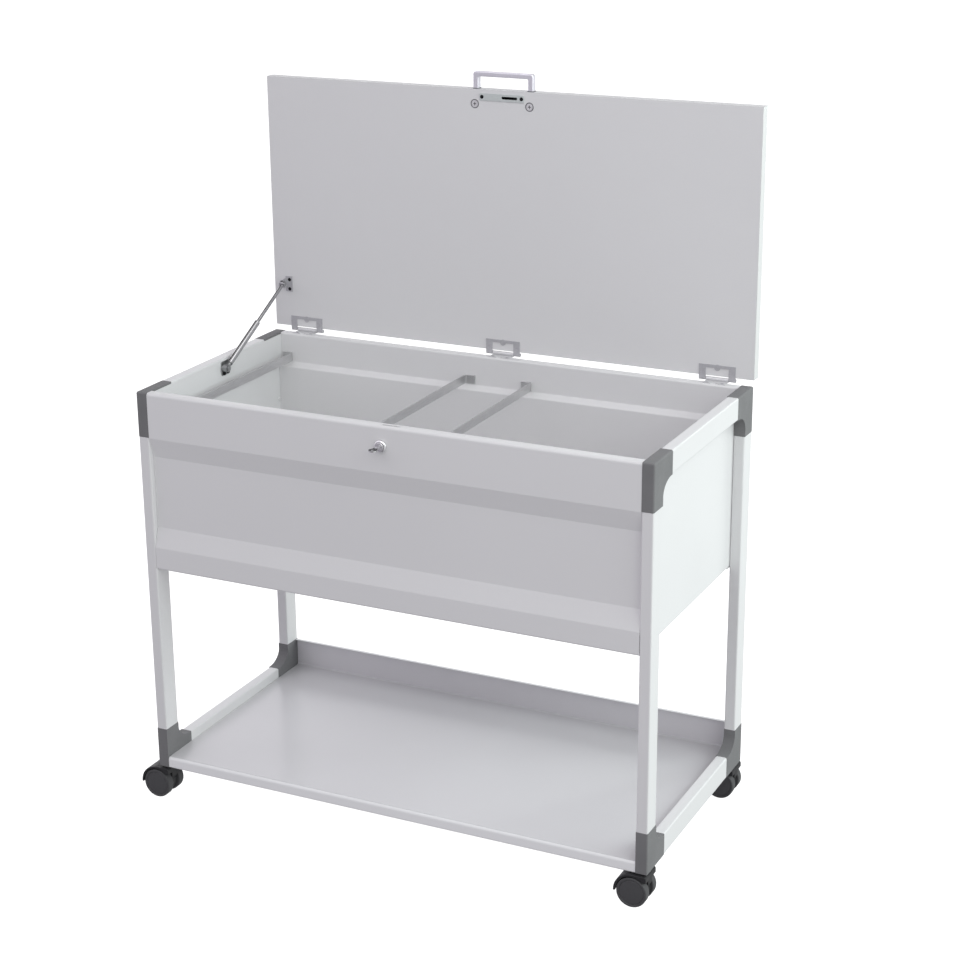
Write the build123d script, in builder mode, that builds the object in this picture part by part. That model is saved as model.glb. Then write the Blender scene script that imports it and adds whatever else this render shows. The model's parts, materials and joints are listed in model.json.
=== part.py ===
from build123d import *
import math
import os

os.makedirs("parts", exist_ok=True)

# ----------------------------------------------------------------------------
# Driving dimensions (millimetres).  X runs along the trolley's width, Y from
# front (-) to rear (+), Z up from the floor.  The origin is on the floor, at
# the centre of the frame's footprint.
# ----------------------------------------------------------------------------
W = 887.0            # width over the tubes
D = 432.0            # depth over the legs
Z0 = 57.0            # underside of the corner connectors
ZT = 719.0           # rim of the hopper

TUBE_W = 19.0        # tube width across, legs and rails
LEG_D = 35.0         # leg tube, front to back
RAIL_H = 37.0        # rail tube height
TUBE_T = 1.5         # tube wall
TUBE_R = 2.5         # tube corner radius
PROUD = 0.5          # connector stands proud of the tubes
SPIGOT_L = 28.0      # connector spigot inside a tube
SPIGOT_GAP = 0.1     # spigot to tube wall

UP_V, UP_H = 74.8, 71.5      # upper connector: vertical and horizontal arm
LO_V, LO_H = 71.4, 71.4      # lower connector: vertical and horizontal arm
GUS_H, GUS_V = 33.0, 24.0    # curved gusset, half axes

SHEET = 1.0          # folded sheet thickness
FASCIA = 75.5        # rim down to the end of the front fascia
BAND_1 = 109.0       # end of the upper slope
BAND_2 = 230.0       # start of the lower slope
LIP_TOP = 263.0      # start of the lower lip
HOP_H = 301.0        # rim down to the hopper's lower edge
RECESS = 10.0        # depth of the recessed field
LEDGE_1, LEDGE_2 = 51.0, 58.5    # inner ledge of the rear panel
FLANGE = 15.0        # top flange depth
REAR_FLANGE = 16.0   # rear rim: flange from the wall back to its lip
REAR_STEP = 10.0     # ledge of the rear wall, towards the inside

DECK = 20.0          # shelf deck above the connectors' underside
UPSTAND = 71.0       # rear upstand, above the connectors' underside

RAIL_OUT, RAIL_IN = 401.0, 61.0  # file rails, distance from the middle
FRAIL_T = 2.5
FRAIL_Z0, FRAIL_Z1 = ZT - 48.5, ZT - 33.5

LID_T = 20.0         # lid thickness
LID_Y = 218.7        # underside of the open lid
LID_Z0, LID_Z1 = ZT + 9.0, ZT + 444.4
BAND_T = 1.0         # edge band
HINGE_Y, HINGE_Z = 220.7, ZT + 4.0
HINGE_X = (-381.0, 0.0, 381.0)
LEAF_T = 1.2
KNUCKLE_R = 3.0
PIN_R = 1.25

STRUT_X = -415.6
STRUT_A = (7.0, ZT - 15.0)           # lower pivot, Y and Z
STRUT_B = (199.9, ZT + 87.8)         # upper pivot with the lid open

LOCK_Z = ZT - 31.7
HANDLE_X = 49.0      # handle legs, distance from the middle
HANDLE_W, HANDLE_D, HANDLE_BAR = 9.4, 11.0, 8.0     # leg width, depth, height of the bar
DISC_Z = ZT + 420.6

CASTER_TRAIL = 14.0
WHEEL_R = 25.0
WHEEL_W = 14.6
WHEEL_IN = 8.4       # inner face of a wheel from the middle of its castor

SCREW_R, SCREW_L = 1.9, 8.0
HEAD_R, HEAD_H = 3.4, 1.8
CSK_R = 1.6

# derived values
HX, HY = W / 2, D / 2
XI = HX - TUBE_W                     # inner face of legs and rails
TX = HX - TUBE_W / 2                 # middle of the tubes
LY = HY - LEG_D / 2                  # middle of the legs
LEG_Z0, LEG_Z1 = Z0 + LO_V, ZT - UP_V
BR_Z0 = Z0 + 0.5                     # bottom rail underside
PX = XI - 0.3                        # panel and shelf ends
CORNERS = (
    ("front_left", -1, -1),
    ("front_right", 1, -1),
    ("rear_left", -1, 1),
    ("rear_right", 1, 1),
)
SIDES = (("left", -1), ("right", 1))

SIDE_SCREW_Y = {-1: -192.0, 1: 185.2}    # front and rear
SIDE_SCREW_Z = (ZT - 290.0, ZT - 118.0)
END_SCREW_Y = 209.0
END_SCREW_Z = (ZT - 282.0, ZT - 24.0)
SHELF_SCREW_Y = 100.0
SHELF_SCREW_Z = Z0 + 9.0
BRACKET_SCREWS = ((9.0, ZT - 25.4), (21.0, ZT - 24.6))


def pick(edges, x=None, y=None, z=None, tol=0.05):
    """Edges whose middle lies at the coordinates that are given."""
    out = []
    for e in edges:
        c = e.bounding_box().center()
        if x is not None and abs(c.X - x) > tol:
            continue
        if y is not None and abs(c.Y - y) > tol:
            continue
        if z is not None and abs(c.Z - z) > tol:
            continue
        out.append(e)
    return ShapeList(out)


# ----------------------------------------------------------------------------
# Side frames: legs, rails and corner connectors
# ----------------------------------------------------------------------------
for tag, sx, sy in CORNERS:
    with BuildPart() as leg:
        with BuildSketch(Plane.XY.offset(LEG_Z0)):
            with Locations((sx * TX, sy * LY)):
                RectangleRounded(TUBE_W, LEG_D, TUBE_R)
                RectangleRounded(TUBE_W - 2 * TUBE_T, LEG_D - 2 * TUBE_T,
                                 TUBE_R - TUBE_T, mode=Mode.SUBTRACT)
        extrude(amount=LEG_Z1 - LEG_Z0)
        # holes for the side panel screws and the lower end screw
        holes = [(sx * (XI + TUBE_T / 2), SIDE_SCREW_Y[sy], z) for z in SIDE_SCREW_Z]
        holes.append((sx * (XI + TUBE_T / 2), sy * END_SCREW_Y, END_SCREW_Z[0]))
        with Locations(*holes):
            Cylinder(SCREW_R, TUBE_T + 1.0, rotation=(0, 90, 0), mode=Mode.SUBTRACT)
    leg.part.label = "leg_" + tag
    export_step(leg.part, "parts/leg_" + tag + ".step")

for tag, sx in SIDES:
    with BuildPart() as top_rail:
        with BuildSketch(Plane.XZ.offset(-(HY - UP_H))):
            with Locations((sx * TX, ZT - RAIL_H / 2)):
                RectangleRounded(TUBE_W, RAIL_H, TUBE_R)
                RectangleRounded(TUBE_W - 2 * TUBE_T, RAIL_H - 2 * TUBE_T,
                                 TUBE_R - TUBE_T, mode=Mode.SUBTRACT)
        extrude(amount=2 * (HY - UP_H))
        if sx < 0:
            # holes for the strut bracket's screws
            with Locations(*[(sx * (XI + TUBE_T / 2), y, z) for y, z in BRACKET_SCREWS]):
                Cylinder(SCREW_R, TUBE_T + 1.0, rotation=(0, 90, 0), mode=Mode.SUBTRACT)
    top_rail.part.label = "top_rail_" + tag
    export_step(top_rail.part, "parts/top_rail_" + tag + ".step")

    with BuildPart() as bottom_rail:
        with BuildSketch(Plane.XZ.offset(-(HY - LO_H))):
            with Locations((sx * TX, BR_Z0 + RAIL_H / 2)):
                RectangleRounded(TUBE_W, RAIL_H, TUBE_R)
                RectangleRounded(TUBE_W - 2 * TUBE_T, RAIL_H - 2 * TUBE_T,
                                 TUBE_R - TUBE_T, mode=Mode.SUBTRACT)
        extrude(amount=2 * (HY - LO_H))
        with Locations(*[(sx * (XI + TUBE_T / 2), s * SHELF_SCREW_Y, SHELF_SCREW_Z) for s in (-1, 1)]):
            Cylinder(SCREW_R, TUBE_T + 1.0, rotation=(0, 90, 0), mode=Mode.SUBTRACT)
    bottom_rail.part.label = "bottom_rail_" + tag
    export_step(bottom_rail.part, "parts/bottom_rail_" + tag + ".step")

KAPPA = 0.5523
for tag, sx, sy in CORNERS:
    x_low = XI if sx > 0 else -(HX + PROUD)
    x_out = sx * (HX + PROUD)
    yo = sy * (HY + PROUD)
    d, h = LEG_D + PROUD, RAIL_H + PROUD
    lv, lh = UP_V + PROUD, UP_H + PROUD
    pts = [(d + GUS_H, h), (lh, h), (lh, 0.0), (0.0, 0.0), (0.0, lv), (d, lv), (d, h + GUS_V)]
    ctl = [(d, h + GUS_V), (d, h + GUS_V * (1 - KAPPA)), (d + GUS_H * (1 - KAPPA), h), (d + GUS_H, h)]
    with BuildPart() as upper:
        with BuildSketch(Plane.YZ.offset(x_low)):
            with BuildLine():
                Polyline(*[(yo - sy * u, ZT + PROUD - v) for u, v in pts])
                Bezier(*[(yo - sy * u, ZT + PROUD - v) for u, v in ctl])
            make_face()
        extrude(amount=TUBE_W + PROUD)
        # rounded outer upright and top edges
        rim = (pick(upper.edges().filter_by(Axis.Z), x=x_out, y=yo)
               + pick(upper.edges().filter_by(Axis.Y), x=x_out, z=ZT + PROUD)
               + pick(upper.edges().filter_by(Axis.X), y=yo, z=ZT + PROUD))
        fillet(rim, radius=3.0)
        # softened end edges and gusset edge on the outside
        chamfer(pick(upper.edges().filter_by(Axis.X), y=yo - sy * d, z=ZT + PROUD - lv)
                + pick(upper.edges().filter_by(Axis.X), y=yo, z=ZT + PROUD - lv), length=0.5)
        # spigots in the leg and in the rail
        with BuildSketch(Plane.XY.offset(ZT - UP_V)):
            with Locations((sx * TX, sy * LY)):
                RectangleRounded(TUBE_W - 2 * (TUBE_T + SPIGOT_GAP),
                                 LEG_D - 2 * (TUBE_T + SPIGOT_GAP), 1.2)
        extrude(amount=-SPIGOT_L)
        with BuildSketch(Plane.XZ.offset(-sy * (HY - UP_H))):
            with Locations((sx * TX, ZT - RAIL_H / 2)):
                RectangleRounded(TUBE_W - 2 * (TUBE_T + SPIGOT_GAP),
                                 RAIL_H - 2 * (TUBE_T + SPIGOT_GAP), 1.2)
        extrude(amount=sy * SPIGOT_L)
        # pilot hole of the fascia's end screw
        with Locations((sx * (XI + SCREW_L / 2), sy * END_SCREW_Y, END_SCREW_Z[1])):
            Cylinder(SCREW_R, SCREW_L, rotation=(0, 90, 0), mode=Mode.SUBTRACT)
    upper.part.label = "upper_connector_" + tag
    export_step(upper.part, "parts/upper_connector_" + tag + ".step")

    lv, lh = LO_V, LO_H + PROUD
    h = RAIL_H + 0.9
    pts = [(d + GUS_H, h), (lh, h), (lh, 0.0), (0.0, 0.0), (0.0, lv), (d, lv), (d, h + GUS_V)]
    ctl = [(d, h + GUS_V), (d, h + GUS_V * (1 - KAPPA)), (d + GUS_H * (1 - KAPPA), h), (d + GUS_H, h)]
    with BuildPart() as lower:
        with BuildSketch(Plane.YZ.offset(x_low)):
            with BuildLine():
                Polyline(*[(yo - sy * u, Z0 + v) for u, v in pts])
                Bezier(*[(yo - sy * u, Z0 + v) for u, v in ctl])
            make_face()
        extrude(amount=TUBE_W + PROUD)
        rim = (pick(lower.edges().filter_by(Axis.Z), x=x_out, y=yo)
               + pick(lower.edges().filter_by(Axis.Y), x=x_out, z=Z0)
               + pick(lower.edges().filter_by(Axis.X), y=yo, z=Z0))
        fillet(rim, radius=2.5)
        chamfer(pick(lower.edges().filter_by(Axis.X), y=yo - sy * d, z=Z0 + lv)
                + pick(lower.edges().filter_by(Axis.X), y=yo, z=Z0 + lv), length=0.5)
        with BuildSketch(Plane.XY.offset(Z0 + LO_V)):
            with Locations((sx * TX, sy * LY)):
                RectangleRounded(TUBE_W - 2 * (TUBE_T + SPIGOT_GAP),
                                 LEG_D - 2 * (TUBE_T + SPIGOT_GAP), 1.2)
        extrude(amount=SPIGOT_L)
        with BuildSketch(Plane.XZ.offset(-sy * (HY - LO_H))):
            with Locations((sx * TX, BR_Z0 + RAIL_H / 2)):
                RectangleRounded(TUBE_W - 2 * (TUBE_T + SPIGOT_GAP),
                                 RAIL_H - 2 * (TUBE_T + SPIGOT_GAP), 1.2)
        extrude(amount=sy * SPIGOT_L)
        # socket of the castor stem
        with Locations((sx * TX, sy * LY, Z0 + 20.0)):
            Cylinder(5.0, 40.0, mode=Mode.SUBTRACT)
    lower.part.label = "lower_connector_" + tag
    export_step(lower.part, "parts/lower_connector_" + tag + ".step")

# ----------------------------------------------------------------------------
# Hopper: folded panels, floor and file rails
# ----------------------------------------------------------------------------
m = SHEET / 2
FRONT_LINE = [
    (-(HY - FLANGE), ZT - m), (-(HY - m), ZT - m), (-(HY - m), ZT - FASCIA),
    (-(HY - m - RECESS), ZT - BAND_1), (-(HY - m - RECESS), ZT - BAND_2),
    (-(HY - m), ZT - LIP_TOP), (-(HY - m), ZT - HOP_H + m), (-(HY - 21.0), ZT - HOP_H + m),
]
with BuildPart() as front_panel:
    with BuildSketch(Plane.YZ.offset(-PX)):
        with BuildLine():
            FilletPolyline(*FRONT_LINE, radius=(4.5, 4.0, 4.0, 4.0, 4.0, 3.0))
        trace(line_width=SHEET)
    extrude(amount=2 * PX)
    # end tabs against the legs
    for sx in (-1, 1):
        for z_a, z_b in ((ZT - 70.0, ZT - 12.0), (ZT - 297.0, ZT - 268.0)):
            with Locations((sx * (PX - m), -(HY - 6.0), (z_a + z_b) / 2)):
                Box(SHEET, 10.4, z_b - z_a)
        with Locations(*[(sx * (PX - m), -END_SCREW_Y, z) for z in END_SCREW_Z]):
            Cylinder(SCREW_R, SHEET * 3, rotation=(0, 90, 0), mode=Mode.SUBTRACT)
    # bore of the lock, and the slot that its cam passes through
    with Locations((0.0, -HY, LOCK_Z)):
        Cylinder(8.0, 6.0, rotation=(90, 0, 0), mode=Mode.SUBTRACT)
    with BuildSketch(Plane.XY.offset(ZT - 3.0)):
        with Locations((14.75, -208.4)):
            RectangleRounded(32.5, 4.4, 2.0)
    extrude(amount=5.0, mode=Mode.SUBTRACT)
front_panel.part.label = "front_panel"
export_step(front_panel.part, "parts/front_panel.step")

# the rear wall stands under the front edge of its rim; the rim runs back to a short lip
REAR_Y = HY - REAR_FLANGE
REAR_LINE = [
    (HY - m, ZT - 17.0), (HY - m, ZT - m), (REAR_Y, ZT - m), (REAR_Y, ZT - LEDGE_1),
    (REAR_Y - REAR_STEP, ZT - LEDGE_2), (REAR_Y - REAR_STEP, ZT - HOP_H + m),
    (REAR_Y - REAR_STEP - 17.0, ZT - HOP_H + m),
]
with BuildPart() as rear_panel:
    with BuildSketch(Plane.YZ.offset(-PX)):
        with BuildLine():
            FilletPolyline(*REAR_LINE, radius=(2.5, 3.0, 3.0, 3.0, 3.0))
        trace(line_width=SHEET)
    extrude(amount=2 * PX)
    # end tabs against the legs, behind the wall
    for sx in (-1, 1):
        with Locations((sx * (PX - m), REAR_Y + 6.5, ZT - 29.0)):
            Box(SHEET, 13.0, 38.0)
        with Locations((sx * (PX - m), REAR_Y + 1.5, ZT - 282.5)):
            Box(SHEET, 23.0, 29.0)
        with Locations(*[(sx * (PX - m), END_SCREW_Y, z) for z in END_SCREW_Z]):
            Cylinder(SCREW_R, SHEET * 3, rotation=(0, 90, 0), mode=Mode.SUBTRACT)
    # holes for the hinge screws
    with Locations(*[(x + dx, 206.5, ZT) for x in HINGE_X for dx in (-13.0, 13.0)]):
        Cylinder(CSK_R, 6.0, mode=Mode.SUBTRACT)
rear_panel.part.label = "rear_panel"
export_step(rear_panel.part, "parts/rear_panel.step")

for tag, sx in SIDES:
    side_line = [(sx * 409.0, ZT - 299.3), (sx * (XI - m), ZT - 299.3), (sx * (XI - m), ZT - 3.0)]
    with BuildPart() as side_panel:
        with BuildSketch(Plane.XZ.offset(204.5)):
            with BuildLine():
                FilletPolyline(*side_line, radius=2.5)
            trace(line_width=SHEET)
        extrude(amount=-(204.5 + REAR_Y - m - 0.3))
        # cut back in front of the lower part of the rear wall
        with Locations((sx * (XI - 8.0), REAR_Y - REAR_STEP - m - 0.3 + 10.0, ZT - 46.5 - 130.0)):
            Box(20.0, 20.0, 260.0, mode=Mode.SUBTRACT)
        with Locations((sx * (XI - 8.0), REAR_Y - REAR_STEP - 4.0 + 10.0, ZT - 299.3)):
            Box(20.0, 20.0, 8.0, mode=Mode.SUBTRACT)
        holes = [(sx * (XI - m), SIDE_SCREW_Y[s], z) for s in (-1, 1) for z in SIDE_SCREW_Z]
        if sx < 0:
            holes += [(sx * (XI - m), y, z) for y, z in BRACKET_SCREWS]
        with Locations(*holes):
            Cylinder(SCREW_R, SHEET * 2, rotation=(0, 90, 0), mode=Mode.SUBTRACT)
    side_panel.part.label = "side_panel_" + tag
    export_step(side_panel.part, "parts/side_panel_" + tag + ".step")

with BuildPart() as hopper_floor:
    floor_y0, floor_y1 = -204.5, REAR_Y - REAR_STEP - m - 0.5
    with BuildSketch(Plane.XY.offset(ZT - 298.8)):
        with Locations((0.0, (floor_y0 + floor_y1) / 2)):
            RectangleRounded(2 * (XI - 3.6), floor_y1 - floor_y0, 2.0)
    extrude(amount=SHEET)
hopper_floor.part.label = "hopper_floor"
export_step(hopper_floor.part, "parts/hopper_floor.step")

FOOT_F = -(HY - SHEET - FRAIL_T / 2)
FOOT_R = REAR_Y - m - FRAIL_T / 2
for name, x, foot in (
    ("file_rail_left_outer", -RAIL_OUT, -18.0),
    ("file_rail_left_inner", -RAIL_IN, 18.0),
    ("file_rail_right_inner", RAIL_IN, -18.0),
    ("file_rail_right_outer", RAIL_OUT, 18.0),
):
    with BuildPart() as file_rail:
        with BuildSketch(Plane.XY.offset(FRAIL_Z0)):
            with BuildLine():
                FilletPolyline((x + foot, FOOT_F), (x, FOOT_F), (x, FOOT_R), (x + foot, FOOT_R), radius=4.0)
            trace(line_width=FRAIL_T)
        extrude(amount=FRAIL_Z1 - FRAIL_Z0)
        # rounded upper edge that the hooks hang on
        top = pick(file_rail.edges().filter_by(Axis.Y), z=FRAIL_Z1)
        fillet(top, radius=1.0)
    file_rail.part.label = name
    export_step(file_rail.part, "parts/" + name + ".step")

# ----------------------------------------------------------------------------
# Lower shelf
# ----------------------------------------------------------------------------
SHELF_LINE = [
    (-(HY - 14.0), Z0 + 1.0), (-(HY - m), Z0 + 1.0), (-(HY - m), Z0 + DECK - m),
    (HY - m, Z0 + DECK - m), (HY - m, Z0 + UPSTAND - m), (HY - 7.0, Z0 + UPSTAND - m),
]
with BuildPart() as lower_shelf:
    with BuildSketch(Plane.YZ.offset(-PX)):
        with BuildLine():
            FilletPolyline(*SHELF_LINE, radius=(2.5, 4.5, 3.5, 2.0))
        trace(line_width=SHEET)
    extrude(amount=2 * PX)
    for sx in (-1, 1):
        with Locations((sx * (PX - m), 0.0, Z0 + 3.0 + (DECK - 3.5) / 2)):
            Box(SHEET, 400.0, DECK - 3.5)
        with Locations(*[(sx * (PX - m), s * SHELF_SCREW_Y, SHELF_SCREW_Z) for s in (-1, 1)]):
            Cylinder(SCREW_R, SHEET * 3, rotation=(0, 90, 0), mode=Mode.SUBTRACT)
lower_shelf.part.label = "lower_shelf"
export_step(lower_shelf.part, "parts/lower_shelf.step")

# ----------------------------------------------------------------------------
# Screws of the frame: pan heads towards the inside, shanks outwards
# ----------------------------------------------------------------------------
frame_holes = []
for tag, sx, sy in CORNERS:
    frame_holes += [(sx, XI - SHEET, SIDE_SCREW_Y[sy], z) for z in SIDE_SCREW_Z]
    frame_holes += [(sx, PX - SHEET, sy * END_SCREW_Y, z) for z in END_SCREW_Z]
    frame_holes.append((sx, PX - SHEET, sy * SHELF_SCREW_Y, SHELF_SCREW_Z))
frame_holes += [(-1, XI - SHEET - 1.5, y, z) for y, z in BRACKET_SCREWS]
with BuildPart() as frame_screws:
    for sx, x, y, z in frame_holes:
        with Locations((sx * (x + SCREW_L / 2), y, z)):
            Cylinder(SCREW_R, SCREW_L, rotation=(0, 90, 0))
        with Locations((sx * (x - HEAD_H / 2), y, z)):
            Cylinder(HEAD_R, HEAD_H, rotation=(0, 90, 0))
        with Locations((sx * (x - HEAD_H + 0.4), y, z)):
            Box(1.0, 3.4, 0.9, mode=Mode.SUBTRACT)
            Box(1.0, 0.9, 3.4, mode=Mode.SUBTRACT)
frame_screws.part.label = "frame_screws"
export_step(frame_screws.part, "parts/frame_screws.step")

# ----------------------------------------------------------------------------
# Hinges: base leaf on the rim, window leaf on the lid, pin
# ----------------------------------------------------------------------------
KB = 19.0            # half length of the base knuckle
KW = 19.5            # half width of the window
KL = 31.2            # half width of the window leaf
TAB_Z = ZT + 23.2
with BuildPart() as base_leaves:
    for x in HINGE_X:
        with BuildSketch(Plane.XY.offset(ZT)):
            with Locations((x, (202.6 + 221.3) / 2)):
                Rectangle(2 * KB, 221.3 - 202.6)
            with Locations((x, HINGE_Y - (TAB_Z - HINGE_Z))):
                Circle(5.9, mode=Mode.SUBTRACT)
        extrude(amount=LEAF_T)
        with Locations((x, HINGE_Y, HINGE_Z)):
            Cylinder(KNUCKLE_R, 2 * KB, rotation=(0, 90, 0))
    for x in HINGE_X:
        with Locations((x, HINGE_Y, HINGE_Z)):
            Cylinder(PIN_R, 2 * KB + 2.0, rotation=(0, 90, 0), mode=Mode.SUBTRACT)
        for dx in (-13.0, 13.0):
            with Locations((x + dx, 206.5, ZT)):
                Cylinder(CSK_R, 8.0, mode=Mode.SUBTRACT)
            with Locations((x + dx, 206.5, ZT + LEAF_T / 2)):
                Cone(CSK_R, CSK_R + LEAF_T, LEAF_T, mode=Mode.SUBTRACT)
base_leaves.part.label = "hinge_base_leaves"
export_step(base_leaves.part, "parts/hinge_base_leaves.step")

with BuildPart() as hinge_pins:
    with Locations(*[(x, HINGE_Y, HINGE_Z) for x in HINGE_X]):
        Cylinder(PIN_R, 2 * KL - 0.4, rotation=(0, 90, 0))
hinge_pins.part.label = "hinge_pins"
export_step(hinge_pins.part, "parts/hinge_pins.step")

with BuildPart() as hinge_screws:
    for x in HINGE_X:
        for dx in (-13.0, 13.0):
            with Locations((x + dx, 206.5, ZT - 3.0)):
                Cylinder(CSK_R, 6.0)
            with Locations((x + dx, 206.5, ZT + LEAF_T / 2)):
                Cone(CSK_R, CSK_R + LEAF_T, LEAF_T)
            with Locations((x + dx, 206.5, ZT + LEAF_T - 0.3)):
                Box(3.0, 0.7, 0.7, mode=Mode.SUBTRACT)
                Box(0.7, 3.0, 0.7, mode=Mode.SUBTRACT)
hinge_screws.part.label = "hinge_screws"
export_step(hinge_screws.part, "parts/hinge_screws.step")

LEAF_SCREWS = ((-25.3, ZT + 15.5), (25.3, ZT + 15.5), (0.0, ZT + 22.6))
with BuildPart() as lid_leaves:
    for x in HINGE_X:
        with BuildSketch(Plane.XZ.offset(-LID_Y)):
            with Locations((x, (HINGE_Z + ZT + 27.5) / 2)):
                Rectangle(2 * KL, ZT + 27.5 - HINGE_Z)
            with Locations((x, (HINGE_Z - 1.0 + ZT + 22.6) / 2)):
                Rectangle(2 * KW, ZT + 22.6 - HINGE_Z + 1.0, mode=Mode.SUBTRACT)
            with Locations((x, TAB_Z)):
                Circle(5.2)
        extrude(amount=LEAF_T)
        for s in (-1, 1):
            with Locations((x + s * (KW + KL) / 2, HINGE_Y, HINGE_Z)):
                Cylinder(KNUCKLE_R, KL - KW, rotation=(0, 90, 0))
    for x in HINGE_X:
        with Locations((x, HINGE_Y, HINGE_Z)):
            Cylinder(PIN_R + 0.05, 2 * KL + 2.0, rotation=(0, 90, 0), mode=Mode.SUBTRACT)
        for dx, z in LEAF_SCREWS:
            with Locations((x + dx, LID_Y, z)):
                Cylinder(CSK_R, 8.0, rotation=(90, 0, 0), mode=Mode.SUBTRACT)
            with Locations((x + dx, LID_Y - LEAF_T / 2, z)):
                Cone(CSK_R, CSK_R + LEAF_T, LEAF_T, rotation=(90, 0, 0), mode=Mode.SUBTRACT)
lid_leaves.part.label = "hinge_lid_leaves"
export_step(lid_leaves.part, "parts/hinge_lid_leaves.step")

# ----------------------------------------------------------------------------
# Lid: board, edge band, handle with bolts and discs, strike plate
# ----------------------------------------------------------------------------
STRIKE_Z = ZT + 432.7
STRIKE_T = 1.6
STRIKE_SCREWS = ((-35.4, STRIKE_Z), (35.4, STRIKE_Z))
LIDBR_T = 1.5
LIDBR_SCREWS = ((-412.8, ZT + 75.4), (-412.8, ZT + 92.0))
HANDLE_Y = LID_Y + 9.0               # middle of the handle in the lid's thickness
# every countersunk screw in the lid: X, Z, thickness of the fitting it holds
LID_SCREWS = [(x + dx, z, LEAF_T) for x in HINGE_X for dx, z in LEAF_SCREWS]
LID_SCREWS += [(x, z, STRIKE_T) for x, z in STRIKE_SCREWS]
LID_SCREWS += [(x, z, LIDBR_T) for x, z in LIDBR_SCREWS]

with BuildPart() as lid_board:
    with BuildSketch(Plane.XZ.offset(-LID_Y)):
        with Locations((0.0, (LID_Z0 + LID_Z1) / 2)):
            Rectangle(W - 2 * BAND_T, LID_Z1 - LID_Z0 - 2 * BAND_T)
    extrude(amount=-LID_T)
    # pilot holes
    with Locations(*[(x, LID_Y + 5.0, z) for x, z, t in LID_SCREWS]):
        Cylinder(CSK_R, 10.0, rotation=(90, 0, 0), mode=Mode.SUBTRACT)
    # blind bores of the discs, and the bolt holes from the front edge
    with Locations(*[(s * HANDLE_X, LID_Y + 6.25, DISC_Z) for s in (-1, 1)]):
        Cylinder(7.5, 12.5, rotation=(90, 0, 0), mode=Mode.SUBTRACT)
    with Locations(*[(s * HANDLE_X, HANDLE_Y, (DISC_Z + LID_Z1) / 2) for s in (-1, 1)]):
        Cylinder(3.0, LID_Z1 - DISC_Z + 2.0, mode=Mode.SUBTRACT)
    # mortise behind the strike plate
    with Locations((14.5, LID_Y + 6.0, STRIKE_Z)):
        Box(33.0, 12.0, 6.4, mode=Mode.SUBTRACT)
lid_board.part.label = "lid_board"
export_step(lid_board.part, "parts/lid_board.step")

with BuildPart() as lid_edge_band:
    with BuildSketch(Plane.XZ.offset(-LID_Y)):
        with Locations((0.0, (LID_Z0 + LID_Z1) / 2)):
            Rectangle(W, LID_Z1 - LID_Z0)
    extrude(amount=-LID_T)
    outer = (pick(lid_edge_band.edges(), y=LID_Y) + pick(lid_edge_band.edges(), y=LID_Y + LID_T))
    fillet(outer, radius=0.8)
    with BuildSketch(Plane.XZ.offset(-LID_Y + 1.0)):
        with Locations((0.0, (LID_Z0 + LID_Z1) / 2)):
            Rectangle(W - 2 * BAND_T, LID_Z1 - LID_Z0 - 2 * BAND_T)
    extrude(amount=-(LID_T + 2.0), mode=Mode.SUBTRACT)
    with Locations(*[(s * HANDLE_X, HANDLE_Y, LID_Z1) for s in (-1, 1)]):
        Cylinder(3.0, 6.0, mode=Mode.SUBTRACT)
lid_edge_band.part.label = "lid_edge_band"
export_step(lid_edge_band.part, "parts/lid_edge_band.step")

HANDLE_TOP = LID_Z1 + 28.0
with BuildPart() as lid_handle:
    with BuildSketch(Plane.XZ.offset(-(HANDLE_Y + HANDLE_D / 2))):
        with Locations((0.0, (LID_Z1 + HANDLE_TOP) / 2)):
            Rectangle(2 * HANDLE_X + HANDLE_W, HANDLE_TOP - LID_Z1)
        with Locations((0.0, (LID_Z1 + HANDLE_TOP - HANDLE_BAR) / 2)):
            Rectangle(2 * HANDLE_X - HANDLE_W, HANDLE_TOP - HANDLE_BAR - LID_Z1, mode=Mode.SUBTRACT)
    extrude(amount=HANDLE_D)
    corner = pick(lid_handle.edges().filter_by(Axis.Y), z=HANDLE_TOP)
    fillet(corner, radius=5.0)
    inner = pick(lid_handle.edges().filter_by(Axis.Y), z=HANDLE_TOP - HANDLE_BAR)
    fillet(inner, radius=2.0)
    body = lid_handle.edges().filter_by(lambda e: e.bounding_box().max.Z > LID_Z1 + 0.1
                                        and abs(abs(e.bounding_box().center().Y - HANDLE_Y) - HANDLE_D / 2) < 0.05)
    fillet(body, radius=1.8)
    with Locations(*[(s * HANDLE_X, HANDLE_Y, LID_Z1 + 6.0) for s in (-1, 1)]):
        Cylinder(3.0, 12.0, mode=Mode.SUBTRACT)
lid_handle.part.label = "lid_handle"
export_step(lid_handle.part, "parts/lid_handle.step")

with BuildPart() as handle_bolts:
    z_a, z_b = DISC_Z + 2.0, LID_Z1 + 12.0
    with Locations(*[(s * HANDLE_X, HANDLE_Y, (z_a + z_b) / 2) for s in (-1, 1)]):
        Cylinder(3.0, z_b - z_a)
handle_bolts.part.label = "handle_bolts"
export_step(handle_bolts.part, "parts/handle_bolts.step")

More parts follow.
